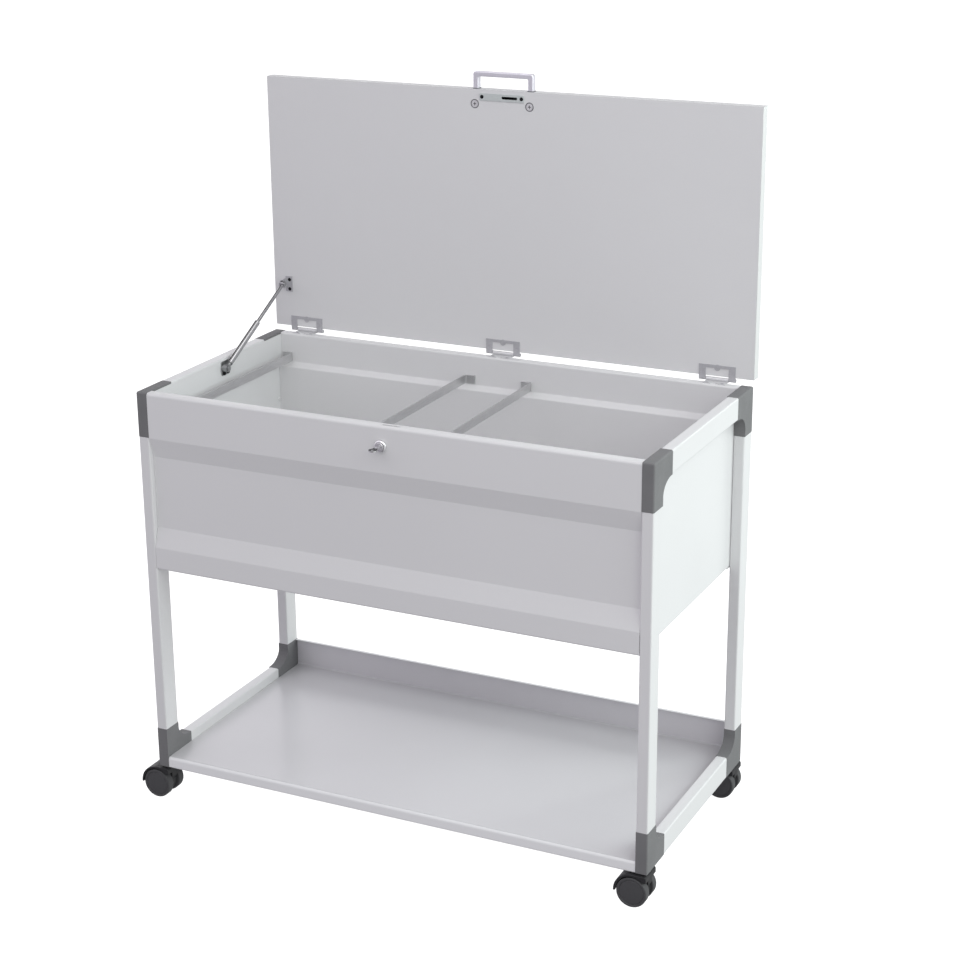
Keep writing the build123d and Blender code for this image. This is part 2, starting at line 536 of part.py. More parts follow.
with BuildPart() as handle_discs:
    with Locations(*[(s * HANDLE_X, LID_Y + 6.25, DISC_Z) for s in (-1, 1)]):
        Cylinder(7.5, 12.5, rotation=(90, 0, 0))
    rims = pick(handle_discs.edges(), y=LID_Y)
    chamfer(rims, length=0.5)
    for s in (-1, 1):
        # ring groove and cross slot on the face
        with BuildSketch(Plane.XZ.offset(-LID_Y)):
            with Locations((s * HANDLE_X, DISC_Z)):
                Circle(6.0)
                Circle(5.2, mode=Mode.SUBTRACT)
        extrude(amount=-0.6, mode=Mode.SUBTRACT)
        with Locations((s * HANDLE_X, LID_Y + 0.8, DISC_Z)):
            Box(5.2, 1.6, 1.2, mode=Mode.SUBTRACT)
            Box(1.2, 1.6, 5.2, mode=Mode.SUBTRACT)
        # seat of the bolt
        with Locations((s * HANDLE_X, HANDLE_Y, DISC_Z + 2.0 + 4.0)):
            Cylinder(3.0, 8.0, mode=Mode.SUBTRACT)
handle_discs.part.label = "handle_cross_discs"
export_step(handle_discs.part, "parts/handle_cross_discs.step")

with BuildPart() as strike_plate:
    with BuildSketch(Plane.XZ.offset(-LID_Y)):
        with Locations((0.0, STRIKE_Z)):
            RectangleRounded(79.4, 11.4, 2.0)
        with Locations((13.85, STRIKE_Z)):
            RectangleRounded(28.1, 4.4, 2.0, mode=Mode.SUBTRACT)
    extrude(amount=STRIKE_T)
    for x, z in STRIKE_SCREWS:
        with Locations((x, LID_Y, z)):
            Cylinder(CSK_R, 8.0, rotation=(90, 0, 0), mode=Mode.SUBTRACT)
        with Locations((x, LID_Y - STRIKE_T / 2, z)):
            Cone(CSK_R, CSK_R + STRIKE_T, STRIKE_T, rotation=(90, 0, 0), mode=Mode.SUBTRACT)
strike_plate.part.label = "strike_plate"
export_step(strike_plate.part, "parts/strike_plate.step")

EAR_X0, EAR_X1, LIDBR_X1 = -420.6, -419.1, -407.2
with BuildPart() as lid_bracket:
    with BuildSketch(Plane.XZ.offset(-LID_Y)):
        with Locations(((EAR_X0 + LIDBR_X1) / 2, ZT + 84.4)):
            RectangleRounded(LIDBR_X1 - EAR_X0, 27.0, 0.6)
    extrude(amount=LIDBR_T)
    # upright ear that carries the strut's upper end
    with BuildSketch(Plane.YZ.offset(EAR_X0)):
        with BuildLine():
            Polyline((LID_Y, ZT + 76.5), (STRUT_B[0] - 3.0, STRUT_B[1] - 6.0),
                     (STRUT_B[0] - 6.0, STRUT_B[1] - 3.0), (STRUT_B[0] - 6.0, STRUT_B[1] + 3.0),
                     (STRUT_B[0] - 3.0, STRUT_B[1] + 6.0), (LID_Y, ZT + 94.5), close=True)
        make_face()
    extrude(amount=EAR_X1 - EAR_X0)
    for x, z in LIDBR_SCREWS:
        with Locations((x, LID_Y, z)):
            Cylinder(CSK_R, 8.0, rotation=(90, 0, 0), mode=Mode.SUBTRACT)
        with Locations((x, LID_Y - LIDBR_T / 2, z)):
            Cone(CSK_R, CSK_R + LIDBR_T, LIDBR_T, rotation=(90, 0, 0), mode=Mode.SUBTRACT)
lid_bracket.part.label = "strut_lid_bracket"
export_step(lid_bracket.part, "parts/strut_lid_bracket.step")

with BuildPart() as lid_screws:
    for x, z, t in LID_SCREWS:
        with Locations((x, LID_Y + 5.0, z)):
            Cylinder(CSK_R, 10.0, rotation=(90, 0, 0))
        with Locations((x, LID_Y - t / 2, z)):
            Cone(CSK_R, CSK_R + t, t, rotation=(90, 0, 0))
        with Locations((x, LID_Y - t + 0.3, z)):
            Box(3.0, 0.7, 0.7, mode=Mode.SUBTRACT)
            Box(0.7, 0.7, 3.0, mode=Mode.SUBTRACT)
lid_screws.part.label = "lid_screws"
export_step(lid_screws.part, "parts/lid_screws.step")

# ----------------------------------------------------------------------------
# Gas strut on the left side
# ----------------------------------------------------------------------------
dy, dz = STRUT_B[0] - STRUT_A[0], STRUT_B[1] - STRUT_A[1]
STRUT_LEN = math.hypot(dy, dz)
dir_y, dir_z = dy / STRUT_LEN, dz / STRUT_LEN
TUBE_END = 117.4


def strut_plane(s):
    """Plane across the strut at distance s from its lower pivot."""
    return Plane(origin=(STRUT_X, STRUT_A[0] + s * dir_y, STRUT_A[1] + s * dir_z),
                 x_dir=(1, 0, 0), z_dir=(0, dir_y, dir_z))


with BuildPart() as wall_bracket:
    x_w = -(XI - SHEET)
    with BuildSketch(Plane.YZ.offset(x_w)):
        with Locations((14.0, ZT - 16.9)):
            RectangleRounded(23.0, 24.6, 3.0)
    extrude(amount=1.5)
    with Locations(*[(x_w, y, z) for y, z in BRACKET_SCREWS]):
        Cylinder(SCREW_R, 6.0, rotation=(0, 90, 0), mode=Mode.SUBTRACT)
    # pivot stud with its head
    with BuildSketch(Plane.YZ.offset(x_w + 1.0)):
        with Locations(STRUT_A):
            Circle(3.0)
    extrude(amount=-409.8 - (x_w + 1.0))
    with BuildSketch(Plane.YZ.offset(-411.1)):
        with Locations(STRUT_A):
            Circle(4.6)
    extrude(amount=1.6)
    with BuildSketch(Plane.YZ.offset(x_w + 1.5)):
        with Locations(STRUT_A):
            Circle(4.6)
    extrude(amount=1.5)
wall_bracket.part.label = "strut_wall_bracket"
export_step(wall_bracket.part, "parts/strut_wall_bracket.step")

with BuildPart() as strut_cylinder:
    with BuildSketch(strut_plane(12.0)):
        Circle(5.0)
    extrude(amount=TUBE_END - 12.0)
    fillet(strut_cylinder.edges().sort_by(Axis.Y)[-1], radius=1.0)
    with BuildSketch(strut_plane(3.0)):
        Circle(3.4)
    extrude(amount=10.0)
    with BuildSketch(Plane.YZ.offset(-419.6)):
        with Locations(STRUT_A):
            Circle(6.4)
    extrude(amount=8.0)
    # pivot bore, gas chamber and rod guide
    with BuildSketch(Plane.YZ.offset(-421.0)):
        with Locations(STRUT_A):
            Circle(3.05)
    extrude(amount=12.0, mode=Mode.SUBTRACT)
    with BuildSketch(strut_plane(14.0)):
        Circle(4.2)
    extrude(amount=98.0, mode=Mode.SUBTRACT)
    with BuildSketch(strut_plane(110.0)):
        Circle(3.05)
    extrude(amount=10.0, mode=Mode.SUBTRACT)
strut_cylinder.part.label = "strut_cylinder"
export_step(strut_cylinder.part, "parts/strut_cylinder.step")

with BuildPart() as strut_rod:
    with BuildSketch(strut_plane(104.0)):
        Circle(3.0)
    extrude(amount=STRUT_LEN - 9.0 - 104.0)
    with BuildSketch(strut_plane(104.0)):
        Circle(4.1)
    extrude(amount=6.0)
    with BuildSketch(strut_plane(STRUT_LEN - 11.6)):
        Circle(2.55)
    extrude(amount=8.3)
    with BuildSketch(Plane.YZ.offset(-418.3)):
        with Locations(STRUT_B):
            Circle(6.0)
    extrude(amount=5.6)
    with BuildSketch(Plane.YZ.offset(-418.6)):
        with Locations(STRUT_B):
            Circle(3.6)
    extrude(amount=7.0)
strut_rod.part.label = "strut_rod"
export_step(strut_rod.part, "parts/strut_rod.step")

# ----------------------------------------------------------------------------
# Lock: flanged housing, nut, barrel, cam and key
# ----------------------------------------------------------------------------
with BuildPart() as lock_housing:
    with BuildSketch(Plane.XZ.offset(HY)):
        with Locations((0.0, LOCK_Z)):
            Circle(10.2)
    extrude(amount=5.2)
    fillet(lock_housing.edges().sort_by(Axis.Y)[0], radius=3.9)
    with BuildSketch(Plane.XZ.offset(HY)):
        with Locations((0.0, LOCK_Z)):
            Circle(8.0)
    extrude(amount=-5.0)
    with Locations((0.0, -HY, LOCK_Z)):
        Cylinder(6.0, 20.0, rotation=(90, 0, 0), mode=Mode.SUBTRACT)
lock_housing.part.label = "lock_housing"
export_step(lock_housing.part, "parts/lock_housing.step")

with BuildPart() as lock_nut:
    with BuildSketch(Plane.XZ.offset(HY - SHEET)):
        with Locations((0.0, LOCK_Z)):
            RegularPolygon(radius=11.5, side_count=6)
            Circle(8.0, mode=Mode.SUBTRACT)
    extrude(amount=-3.0)
lock_nut.part.label = "lock_nut"
export_step(lock_nut.part, "parts/lock_nut.step")

# the key lies flat with the lock open
key_plane = Plane(origin=(0.0, -HY, LOCK_Z), x_dir=(0, -1, 0), z_dir=(0, 0, 1))
with BuildPart() as lock_barrel:
    with BuildSketch(Plane.XZ.offset(HY + 5.6)):
        with Locations((0.0, LOCK_Z)):
            Circle(5.95)
    extrude(amount=-(5.6 + 6.2))
    chamfer(lock_barrel.edges().sort_by(Axis.Y)[0], length=0.5)
    with BuildSketch(Plane.XZ.offset(HY - 6.2)):
        with Locations((0.0, LOCK_Z)):
            Rectangle(6.0, 6.0)
    extrude(amount=-3.6)
    # keyway
    with BuildSketch(key_plane.offset(-1.2)):
        with Locations((1.9, 0.0)):
            Rectangle(8.2, 6.8)
    extrude(amount=2.4, mode=Mode.SUBTRACT)
lock_barrel.part.label = "lock_barrel"
export_step(lock_barrel.part, "parts/lock_barrel.step")

with BuildPart() as lock_cam:
    with BuildSketch(Plane.XZ.offset(209.4)):
        with Locations((0.0, LOCK_Z)):
            Circle(7.0)
        with Locations((21.5, LOCK_Z - 3.5)):
            Rectangle(37.0, 6.0)
        with Locations((0.0, LOCK_Z)):
            Rectangle(6.0, 6.0, mode=Mode.SUBTRACT)
    extrude(amount=-2.0)
    fillet(lock_cam.edges().filter_by(Axis.Y).sort_by(Axis.X)[-2:], radius=1.5)
lock_cam.part.label = "lock_cam"
export_step(lock_cam.part, "parts/lock_cam.step")

with BuildPart() as lock_key:
    with BuildSketch(key_plane.offset(-1.0)):
        with Locations((8.0, 0.0)):
            Rectangle(20.0, 6.4)
        with Locations((25.0, 0.0)):
            Circle(7.2)
        with Locations((18.0, 0.0)):
            Rectangle(4.0, 8.6)
        with Locations((27.6, 0.0)):
            Circle(2.3, mode=Mode.SUBTRACT)
    extrude(amount=2.0)
lock_key.part.label = "lock_key"
export_step(lock_key.part, "parts/lock_key.step")

# ----------------------------------------------------------------------------
# Castors: stem, swivelling hood, axle and two wheels
# ----------------------------------------------------------------------------
with BuildPart() as caster_stems:
    for tag, sx, sy in CORNERS:
        with Locations((sx * TX, sy * LY, (33.5 + Z0 + 40.0) / 2)):
            Cylinder(5.0, Z0 + 40.0 - 33.5)
        with Locations((sx * TX, sy * LY, Z0 - 0.5)):
            Cylinder(8.5, 1.0)
caster_stems.part.label = "caster_stems"
export_step(caster_stems.part, "parts/caster_stems.step")

HOOD_TOP = 55.5
HOOD_HALF = 21.8
HOOD_RO, HOOD_RI = 30.5, 27.4
HUB_HALF = 7.9
for tag, sx, sy in CORNERS:
    cx, cy = sx * TX, sy * LY
    ax = cx - CASTER_TRAIL

    def on_arc(r, deg):
        return (ax + r * math.cos(math.radians(deg)), WHEEL_R + r * math.sin(math.radians(deg)))

    with BuildPart() as hood:
        with BuildSketch(Plane.XZ.offset(-(cy + HOOD_HALF))):
            with BuildLine():
                ThreePointArc(on_arc(HOOD_RO, 183), on_arc(HOOD_RO, 135), on_arc(HOOD_RO, 90))
                Polyline(on_arc(HOOD_RO, 90), (cx + 9.6, HOOD_TOP), (cx + 9.6, 45.5), on_arc(HOOD_RI, 50))
                ThreePointArc(on_arc(HOOD_RI, 50), on_arc(HOOD_RI, 115), on_arc(HOOD_RI, 183))
                Line(on_arc(HOOD_RI, 183), on_arc(HOOD_RO, 183))
            make_face()
        extrude(amount=2 * HOOD_HALF)
        fillet(pick(hood.edges().filter_by(Axis.Y), x=cx + 9.6, z=HOOD_TOP), radius=4.0)
        # softened outer rims of the hood
        rims = [e for e in hood.edges() if abs(abs(e.bounding_box().center().Y - cy) - HOOD_HALF) < 0.01
                and e.bounding_box().max.Z > 50.0 and e.bounding_box().max.X > ax - 29.0
                and (e.bounding_box().max.Z > HOOD_TOP - 0.1)]
        fillet(rims, radius=1.2)
        # middle body between the wheels, round the axle and up to the stem
        with BuildSketch(Plane.XZ.offset(-(cy + HUB_HALF))):
            with Locations((ax, WHEEL_R)):
                Circle(20.5)
            with BuildLine():
                Polyline((ax - 17.0, WHEEL_R + 6.0), (ax - 12.0, 51.5), (ax, 54.0), (cx + 8.6, 54.0),
                         (cx + 8.6, 36.0), (ax + 18.0, WHEEL_R + 2.0), close=True)
            make_face()
        extrude(amount=2 * HUB_HALF)
        with Locations((cx, cy, 36.0 + (HOOD_TOP + 2.0 - 36.0) / 2 - 2.8)):
            Cylinder(5.05, HOOD_TOP + 2.0 - 36.0 + 2.8, mode=Mode.SUBTRACT)
        with Locations((ax, cy, WHEEL_R)):
            Cylinder(3.05, 30.0, rotation=(90, 0, 0), mode=Mode.SUBTRACT)
    hood.part.label = "caster_hood_" + tag
    export_step(hood.part, "parts/caster_hood_" + tag + ".step")

    with BuildPart() as axle:
        with Locations((ax, cy, WHEEL_R)):
            Cylinder(3.0, 2 * (WHEEL_IN + 11.5), rotation=(90, 0, 0))
    axle.part.label = "caster_axle_" + tag
    export_step(axle.part, "parts/caster_axle_" + tag + ".step")

    with BuildPart() as wheels:
        for s in (-1, 1):
            y_in, y_out = cy + s * WHEEL_IN, cy + s * (WHEEL_IN + WHEEL_W)
            with BuildSketch(Plane(origin=(ax, cy, WHEEL_R), x_dir=(1, 0, 0), z_dir=(0, 0, 1))):
                with BuildLine():
                    a, b = s * WHEEL_IN, s * (WHEEL_IN + WHEEL_W)
                    # tread, raised rim, groove and domed face
                    q = [(3.0, a), (WHEEL_R - 1.2, a), (WHEEL_R, a + s * 1.2), (WHEEL_R, b - s * 2.4),
                         (WHEEL_R - 0.4, b - s * 1.3), (WHEEL_R - 1.2, b - s * 0.7), (WHEEL_R - 3.0, b - s * 0.5),
                         (WHEEL_R - 3.9, b - s * 0.9), (WHEEL_R - 4.5, b - s * 1.7), (WHEEL_R - 5.1, b - s * 1.7),
                         (WHEEL_R - 5.8, b - s * 1.1), (WHEEL_R - 9.0, b - s * 0.75), (WHEEL_R - 14.0, b - s * 0.3),
                         (WHEEL_R - 19.0, b - s * 0.06), (0.0, b), (0.0, a + s * 11.5), (3.0, a + s * 11.5)]
                    Polyline(*q, close=True)
                make_face()
            revolve(axis=Axis((ax, cy, WHEEL_R), (0, 1, 0)))
    wheels.part.label = "caster_wheels_" + tag
    export_step(wheels.part, "parts/caster_wheels_" + tag + ".step")
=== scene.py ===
import bpy
import bmesh
import json
import math
from mathutils import Vector, Matrix


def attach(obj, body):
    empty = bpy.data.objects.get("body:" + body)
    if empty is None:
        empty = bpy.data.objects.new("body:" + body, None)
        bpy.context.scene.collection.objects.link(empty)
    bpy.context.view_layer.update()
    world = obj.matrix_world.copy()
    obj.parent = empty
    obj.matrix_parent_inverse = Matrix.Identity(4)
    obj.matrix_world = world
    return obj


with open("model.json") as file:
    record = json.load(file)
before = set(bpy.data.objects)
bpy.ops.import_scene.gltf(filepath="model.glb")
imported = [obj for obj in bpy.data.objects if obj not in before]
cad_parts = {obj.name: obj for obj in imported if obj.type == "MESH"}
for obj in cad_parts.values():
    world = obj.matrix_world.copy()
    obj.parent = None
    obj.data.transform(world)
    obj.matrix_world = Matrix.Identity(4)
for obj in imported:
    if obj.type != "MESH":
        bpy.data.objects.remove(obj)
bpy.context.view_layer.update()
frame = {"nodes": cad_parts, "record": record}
NODES = frame["nodes"]
scene = bpy.context.scene

# ----------------------------------------------------------------------------
# Camera: the photograph's view, solved from the frame's straight edges
# ----------------------------------------------------------------------------
AZ, EL, ROLL = math.radians(25.98), math.radians(18.84), math.radians(-0.49)
back = Vector((math.sin(AZ) * math.cos(EL), -math.cos(AZ) * math.cos(EL), math.sin(EL)))
right = Vector((0, 0, 1)).cross(back).normalized()
up = back.cross(right)
r2 = math.cos(ROLL) * right + math.sin(ROLL) * up
u2 = -math.sin(ROLL) * right + math.cos(ROLL) * up
cam_data = bpy.data.cameras.new("camera")
cam_data.sensor_width = 36.0
cam_data.lens = 78.79
cam_data.clip_start, cam_data.clip_end = 0.05, 200.0
cam = bpy.data.objects.new("camera", cam_data)
scene.collection.objects.link(cam)
cam.matrix_world = Matrix((
    (r2.x, u2.x, back.x, 1.4619),
    (r2.y, u2.y, back.y, -2.8743),
    (r2.z, u2.z, back.z, 1.6653),
    (0, 0, 0, 1),
))
scene.camera = cam


# ----------------------------------------------------------------------------
# Procedural materials
# ----------------------------------------------------------------------------
class Mat:
    """A node material built step by step round one Principled shader."""

    def __init__(self, name, color, rough, metallic=0.0):
        self.m = bpy.data.materials.new(name)
        self.m.use_nodes = True
        self.nt = self.m.node_tree
        self.b = self.nt.nodes["Principled BSDF"]
        self.color = color
        self.b.inputs["Base Color"].default_value = (*color, 1.0)
        self.b.inputs["Roughness"].default_value = rough
        self.b.inputs["Metallic"].default_value = metallic
        self.co = self.node("ShaderNodeTexCoord").outputs["Object"]
        self.normal = None
        self.col = None

    def node(self, kind, **kw):
        n = self.nt.nodes.new(kind)
        for k, v in kw.items():
            setattr(n, k, v)
        return n

    def link(self, a, b):
        self.nt.links.new(a, b)

    def noise(self, scale, detail=2.0, rough=0.5, stretch=None, distortion=0.0):
        n = self.node("ShaderNodeTexNoise")
        n.inputs["Scale"].default_value = scale
        n.inputs["Detail"].default_value = detail
        n.inputs["Roughness"].default_value = rough
        n.inputs["Distortion"].default_value = distortion
        if stretch:
            mp = self.node("ShaderNodeMapping")
            mp.inputs["Scale"].default_value = stretch
            self.link(self.co, mp.inputs["Vector"])
            self.link(mp.outputs["Vector"], n.inputs["Vector"])
        else:
            self.link(self.co, n.inputs["Vector"])
        return n.outputs["Fac"]

    def ramp(self, fac, lo, hi, a, b):
        r = self.node("ShaderNodeMapRange", clamp=True)
        r.inputs["From Min"].default_value = lo
        r.inputs["From Max"].default_value = hi
        r.inputs["To Min"].default_value = a
        r.inputs["To Max"].default_value = b
        self.link(fac, r.inputs["Value"])
        return r.outputs["Result"]

    def tone(self, fac, dark, light, lo=0.3, hi=0.7):
        """Multiply the colour so far by a value between dark and light."""
        v = self.ramp(fac, lo, hi, dark, light)
        mx = self.node("ShaderNodeMix", data_type="RGBA", blend_type="MULTIPLY")
        mx.inputs["Factor"].default_value = 1.0
        if self.col is None:
            mx.inputs["A"].default_value = (*self.color, 1.0)
        else:
            self.link(self.col, mx.inputs["A"])
        comb = self.node("ShaderNodeCombineColor")
        for k in ("Red", "Green", "Blue"):
            self.link(v, comb.inputs[k])
        self.link(comb.outputs["Color"], mx.inputs["B"])
        self.col = mx.outputs["Result"]
        self.link(self.col, self.b.inputs["Base Color"])
        return self

    def tint(self, fac, color, lo=0.5, hi=0.7, amount=1.0):
        """Blend towards another colour where the factor is high."""
        v = self.ramp(fac, lo, hi, 0.0, amount)
        mx = self.node("ShaderNodeMix", data_type="RGBA", blend_type="MIX")
        self.link(v, mx.inputs["Factor"])
        if self.col is None:
            mx.inputs["A"].default_value = (*self.color, 1.0)
        else:
            self.link(self.col, mx.inputs["A"])
        mx.inputs["B"].default_value = (*color, 1.0)
        self.col = mx.outputs["Result"]
        self.link(self.col, self.b.inputs["Base Color"])
        return self

    def gloss(self, fac, a, b, lo=0.3, hi=0.7):
        self.link(self.ramp(fac, lo, hi, a, b), self.b.inputs["Roughness"])
        return self

    def bump(self, fac, strength, distance):
        n = self.node("ShaderNodeBump")
        n.inputs["Strength"].default_value = strength
        n.inputs["Distance"].default_value = distance
        self.link(fac, n.inputs["Height"])
        if self.normal is not None:
            self.link(self.normal, n.inputs["Normal"])
        self.normal = n.outputs["Normal"]
        self.link(self.normal, self.b.inputs["Normal"])
        return self

    def set(self, **kw):
        for k, v in kw.items():
            self.b.inputs[k.replace("_", " ")].default_value = v
        return self


def powder_coat(name, color, rough, peel=0.10):
    m = Mat(name, color, rough)
    m.tone(m.noise(2.2, 3.0), 0.985, 1.012)
    m.tone(m.noise(1500.0, 1.0), 0.985, 1.015)
    m.gloss(m.noise(9.0, 2.0), rough - 0.03, rough + 0.03)
    m.bump(m.noise(520.0, 2.0), peel, 0.00012)
    return m.m


def moulded(name, color, rough, grain=1400.0, depth=0.00010):
    m = Mat(name, color, rough)
    m.tone(m.noise(14.0, 3.0), 0.93, 1.06)
    m.tone(m.noise(grain, 2.0), 0.90, 1.10)
    m.gloss(m.noise(60.0, 3.0), rough - 0.06, rough + 0.08)
    m.bump(m.noise(grain, 2.0), 0.35, depth)
    return m.m


def metal(name, color, rough, grain=(1.0, 1.0, 1.0), scale=300.0, spread=0.08, tone=0.06, metallic=1.0):
    m = Mat(name, color, rough, metallic=metallic)
    m.tone(m.noise(scale, 3.0, stretch=grain), 1.0 - tone, 1.0 + tone * 0.5)
    m.gloss(m.noise(scale * 0.7, 3.0, stretch=grain), rough - spread * 0.5, rough + spread)
    m.bump(m.noise(scale * 2.0, 2.0, stretch=grain), 0.06, 0.00005)
    return m.m


PAINT = (0.745, 0.745, 0.75)
MATS = {
    "frame_paint": powder_coat("frame powder coat", PAINT, 0.38),
    "panel_paint": powder_coat("panel powder coat", PAINT, 0.40),
    "grey_plastic": moulded("grey moulding", (0.194, 0.194, 0.198), 0.60),
    "handle_metal": metal("satin handle", (0.86, 0.845, 0.905), 0.46, (1.0, 1.0, 0.15), 900.0, metallic=0.8),
    "chrome": metal("polished chrome", (0.80, 0.80, 0.81), 0.09, scale=60.0, spread=0.05, tone=0.02),
    "strut_silver": metal("strut tube", (0.40, 0.40, 0.41), 0.17, (4.0, 0.3, 0.3), 500.0),
    "zinc": metal("zinc plate", (0.52, 0.515, 0.54), 0.42, scale=420.0, tone=0.08, metallic=0.3),
    "rail_zinc": metal("rail zinc", (0.66, 0.66, 0.665), 0.36, (1.0, 0.06, 1.0), 900.0, tone=0.08),
    "caster_plastic": moulded("castor moulding", (0.030, 0.030, 0.032), 0.40, 1100.0, 0.00006),
    "wheel_plastic": moulded("wheel moulding", (0.074, 0.074, 0.077), 0.36, 1600.0, 0.00003),
    "dark_steel": metal("dark steel", (0.34, 0.345, 0.35), 0.32, scale=380.0, tone=0.15, metallic=0.8),
}

for slot, level in (("grey_plastic", 0.14), ("caster_plastic", 0.22), ("wheel_plastic", 0.22)):
    MATS[slot].node_tree.nodes["Principled BSDF"].inputs["Specular IOR Level"].default_value = level

lam = Mat("lid laminate", PAINT, 0.46)
lam.tone(lam.noise(1.6, 2.0), 0.99, 1.01)
lam.tone(lam.noise(2600.0, 2.0), 0.975, 1.02)
lam.gloss(lam.noise(24.0, 3.0), 0.42, 0.52)
lam.bump(lam.noise(1800.0, 3.0), 0.14, 0.00008)
MATS["lid_laminate"] = lam.m
MATS["lid_edge"] = powder_coat("lid edge band", (0.665, 0.67, 0.67), 0.40)

# The shelf is one sheet in one coat. Deck, upstand and lip get three copies of it: the deck darker as painted shade,
# the upstand and the lip lighter as painted light.
deck = powder_coat("shelf deck coat, painted shade", (0.640, 0.635, 0.650), 0.20, 0.03)
deck.node_tree.nodes["Principled BSDF"].inputs["Specular IOR Level"].default_value = 0.9
strut_tube = metal("polished strut tube", (0.50, 0.50, 0.51), 0.16, (4.0, 0.3, 0.3), 500.0)
strut_bar = metal("ground strut rod", (0.42, 0.42, 0.43), 0.14, (4.0, 0.3, 0.3), 600.0)
rosette = metal("satin nickel rosette", (0.82, 0.82, 0.83), 0.22, scale=120.0, spread=0.04, tone=0.03)
# dark colour for the cam discs' outer ring and cross slot: painted shade
disc_rim_slot_shade = metal("disc rim and slot, painted shade", (0.20, 0.20, 0.21), 0.44, scale=420.0, tone=0.06, metallic=0.5)
upstand = powder_coat("shelf upstand coat, painted light", (0.72, 0.71, 0.735), 0.34)
# dark colour for the rings at the handle's feet: painted shade
foot_ring_shade = moulded("handle foot ring, painted shade", (0.11, 0.11, 0.12), 0.55)
lip = powder_coat("shelf lip coat, painted light", (0.86, 0.865, 0.87), 0.34)
# lighter copy of the hinge zinc for the leaves on the rim: painted light
leaf_painted_light = metal("zinc leaf, painted light", (0.74, 0.74, 0.75), 0.36, scale=420.0, tone=0.06, metallic=0.4)
disc_face = metal("disc face", (0.72, 0.71, 0.73), 0.38, (1.0, 1.0, 1.0), 420.0, tone=0.06, metallic=0.25)
key_steel = metal("key steel", (0.66, 0.66, 0.67), 0.22, scale=300.0, tone=0.06)
screw_black = metal("blackened screw", (0.035, 0.036, 0.038), 0.40, scale=500.0, tone=0.12)
# near-black for the inside of the strike's mortise: painted shade
mortise = moulded("mortise inside, painted shade", (0.012, 0.012, 0.013), 0.70)
# dark colour for the key's bow faces: a painted dark reflection on a silver key
key_bow_dark_reflection = metal("key bow, painted dark reflection", (0.075, 0.075, 0.08), 0.26, scale=300.0, tone=0.10)
strike = metal("strike plate", (0.64, 0.68, 0.67), 0.40, (0.2, 1.0, 1.0), 700.0, tone=0.06, metallic=0.25)

slots = {s["node"]: s["material_slot"] for s in frame["record"]["subparts"]}


def dress(obj, material):
    obj.data.materials.clear()
    obj.data.materials.append(material)


def paint_where(name, material, test):
    """A second material on the polygons of one node whose middle passes the test."""
    obj = NODES[name]
    obj.data.materials.append(material)
    k = len(obj.data.materials) - 1
    w = obj.matrix_world
    for f in obj.data.polygons:
        if test(w @ f.center):
            f.material_index = k


for name, obj in NODES.items():
    dress(obj, MATS[slots[name]])

ZT, HY = 0.719, 0.216
A_Y, A_Z, B_Y, B_Z = 0.0070, ZT - 0.0150, 0.1999, ZT + 0.0878
S_LEN = math.hypot(B_Y - A_Y, B_Z - A_Z)
S_DY, S_DZ = (B_Y - A_Y) / S_LEN, (B_Z - A_Z) / S_LEN


def along(c):
    """Distance along the strut from its lower pivot."""
    return (c.y - A_Y) * S_DY + (c.z - A_Z) * S_DZ


dress(NODES["lower_shelf"], deck)
dress(NODES["strut_cylinder"], strut_tube)
dress(NODES["strut_rod"], strut_bar)
dress(NODES["strut_lid_bracket"], MATS["zinc"])
dress(NODES["lock_housing"], rosette)
dress(NODES["lock_barrel"], rosette)
# painted light and shade on the shelf: lighter coat on the front lip and the upstand's top hem, a middle coat on the
# upstand, the darker deck coat on the rest
paint_where("lower_shelf", lip, lambda c: c.y < -0.2128)
paint_where("lower_shelf", upstand, lambda c: c.z > 0.0790 and c.y > 0.15)
paint_where("lower_shelf", lip, lambda c: c.z > 0.1262)
# the key's bow faces carry the painted dark reflection; the blade and the bow's rim stay steel
dress(NODES["lock_key"], key_bow_dark_reflection)
paint_where("lock_key", key_steel, lambda c: c.y > -0.2330 or abs(c.z - 0.6873) < 0.0008)
# the hinge leaves on the rim get the lighter zinc: painted light
dress(NODES["hinge_base_leaves"], leaf_painted_light)
dress(NODES["strike_plate"], strike)
dress(NODES["handle_cross_discs"], disc_face)
# dark centre and outer ring on the cam discs: painted shade in the cross slot and round the edge
paint_where("handle_cross_discs", disc_rim_slot_shade, lambda c: 0.2189 < c.y < 0.2206 and math.hypot(abs(c.x) - 0.049, c.z - 1.1396) < 0.0045)
paint_where("handle_cross_discs", disc_rim_slot_shade, lambda c: c.y < 0.2206 and math.hypot(abs(c.x) - 0.049, c.z - 1.1396) > 0.0060)
# hidden inside of the strike's mortise in near-black as painted shade, end fittings of the strut, screw groups
paint_where("lid_board", mortise, lambda c: abs(c.z - (ZT + 0.4327)) < 0.0040 and -0.003 < c.x < 0.032 and 0.2190 < c.y < 0.2310)
paint_where("strut_cylinder", MATS["dark_steel"], lambda c: along(c) < 0.0122)
dress(NODES["frame_screws"], MATS["panel_paint"])
paint_where("frame_screws", screw_black, lambda c: abs(c.y - 0.015) < 0.02 and c.z > ZT - 0.04)
paint_where("lid_screws", screw_black, lambda c: c.z > ZT + 0.06)

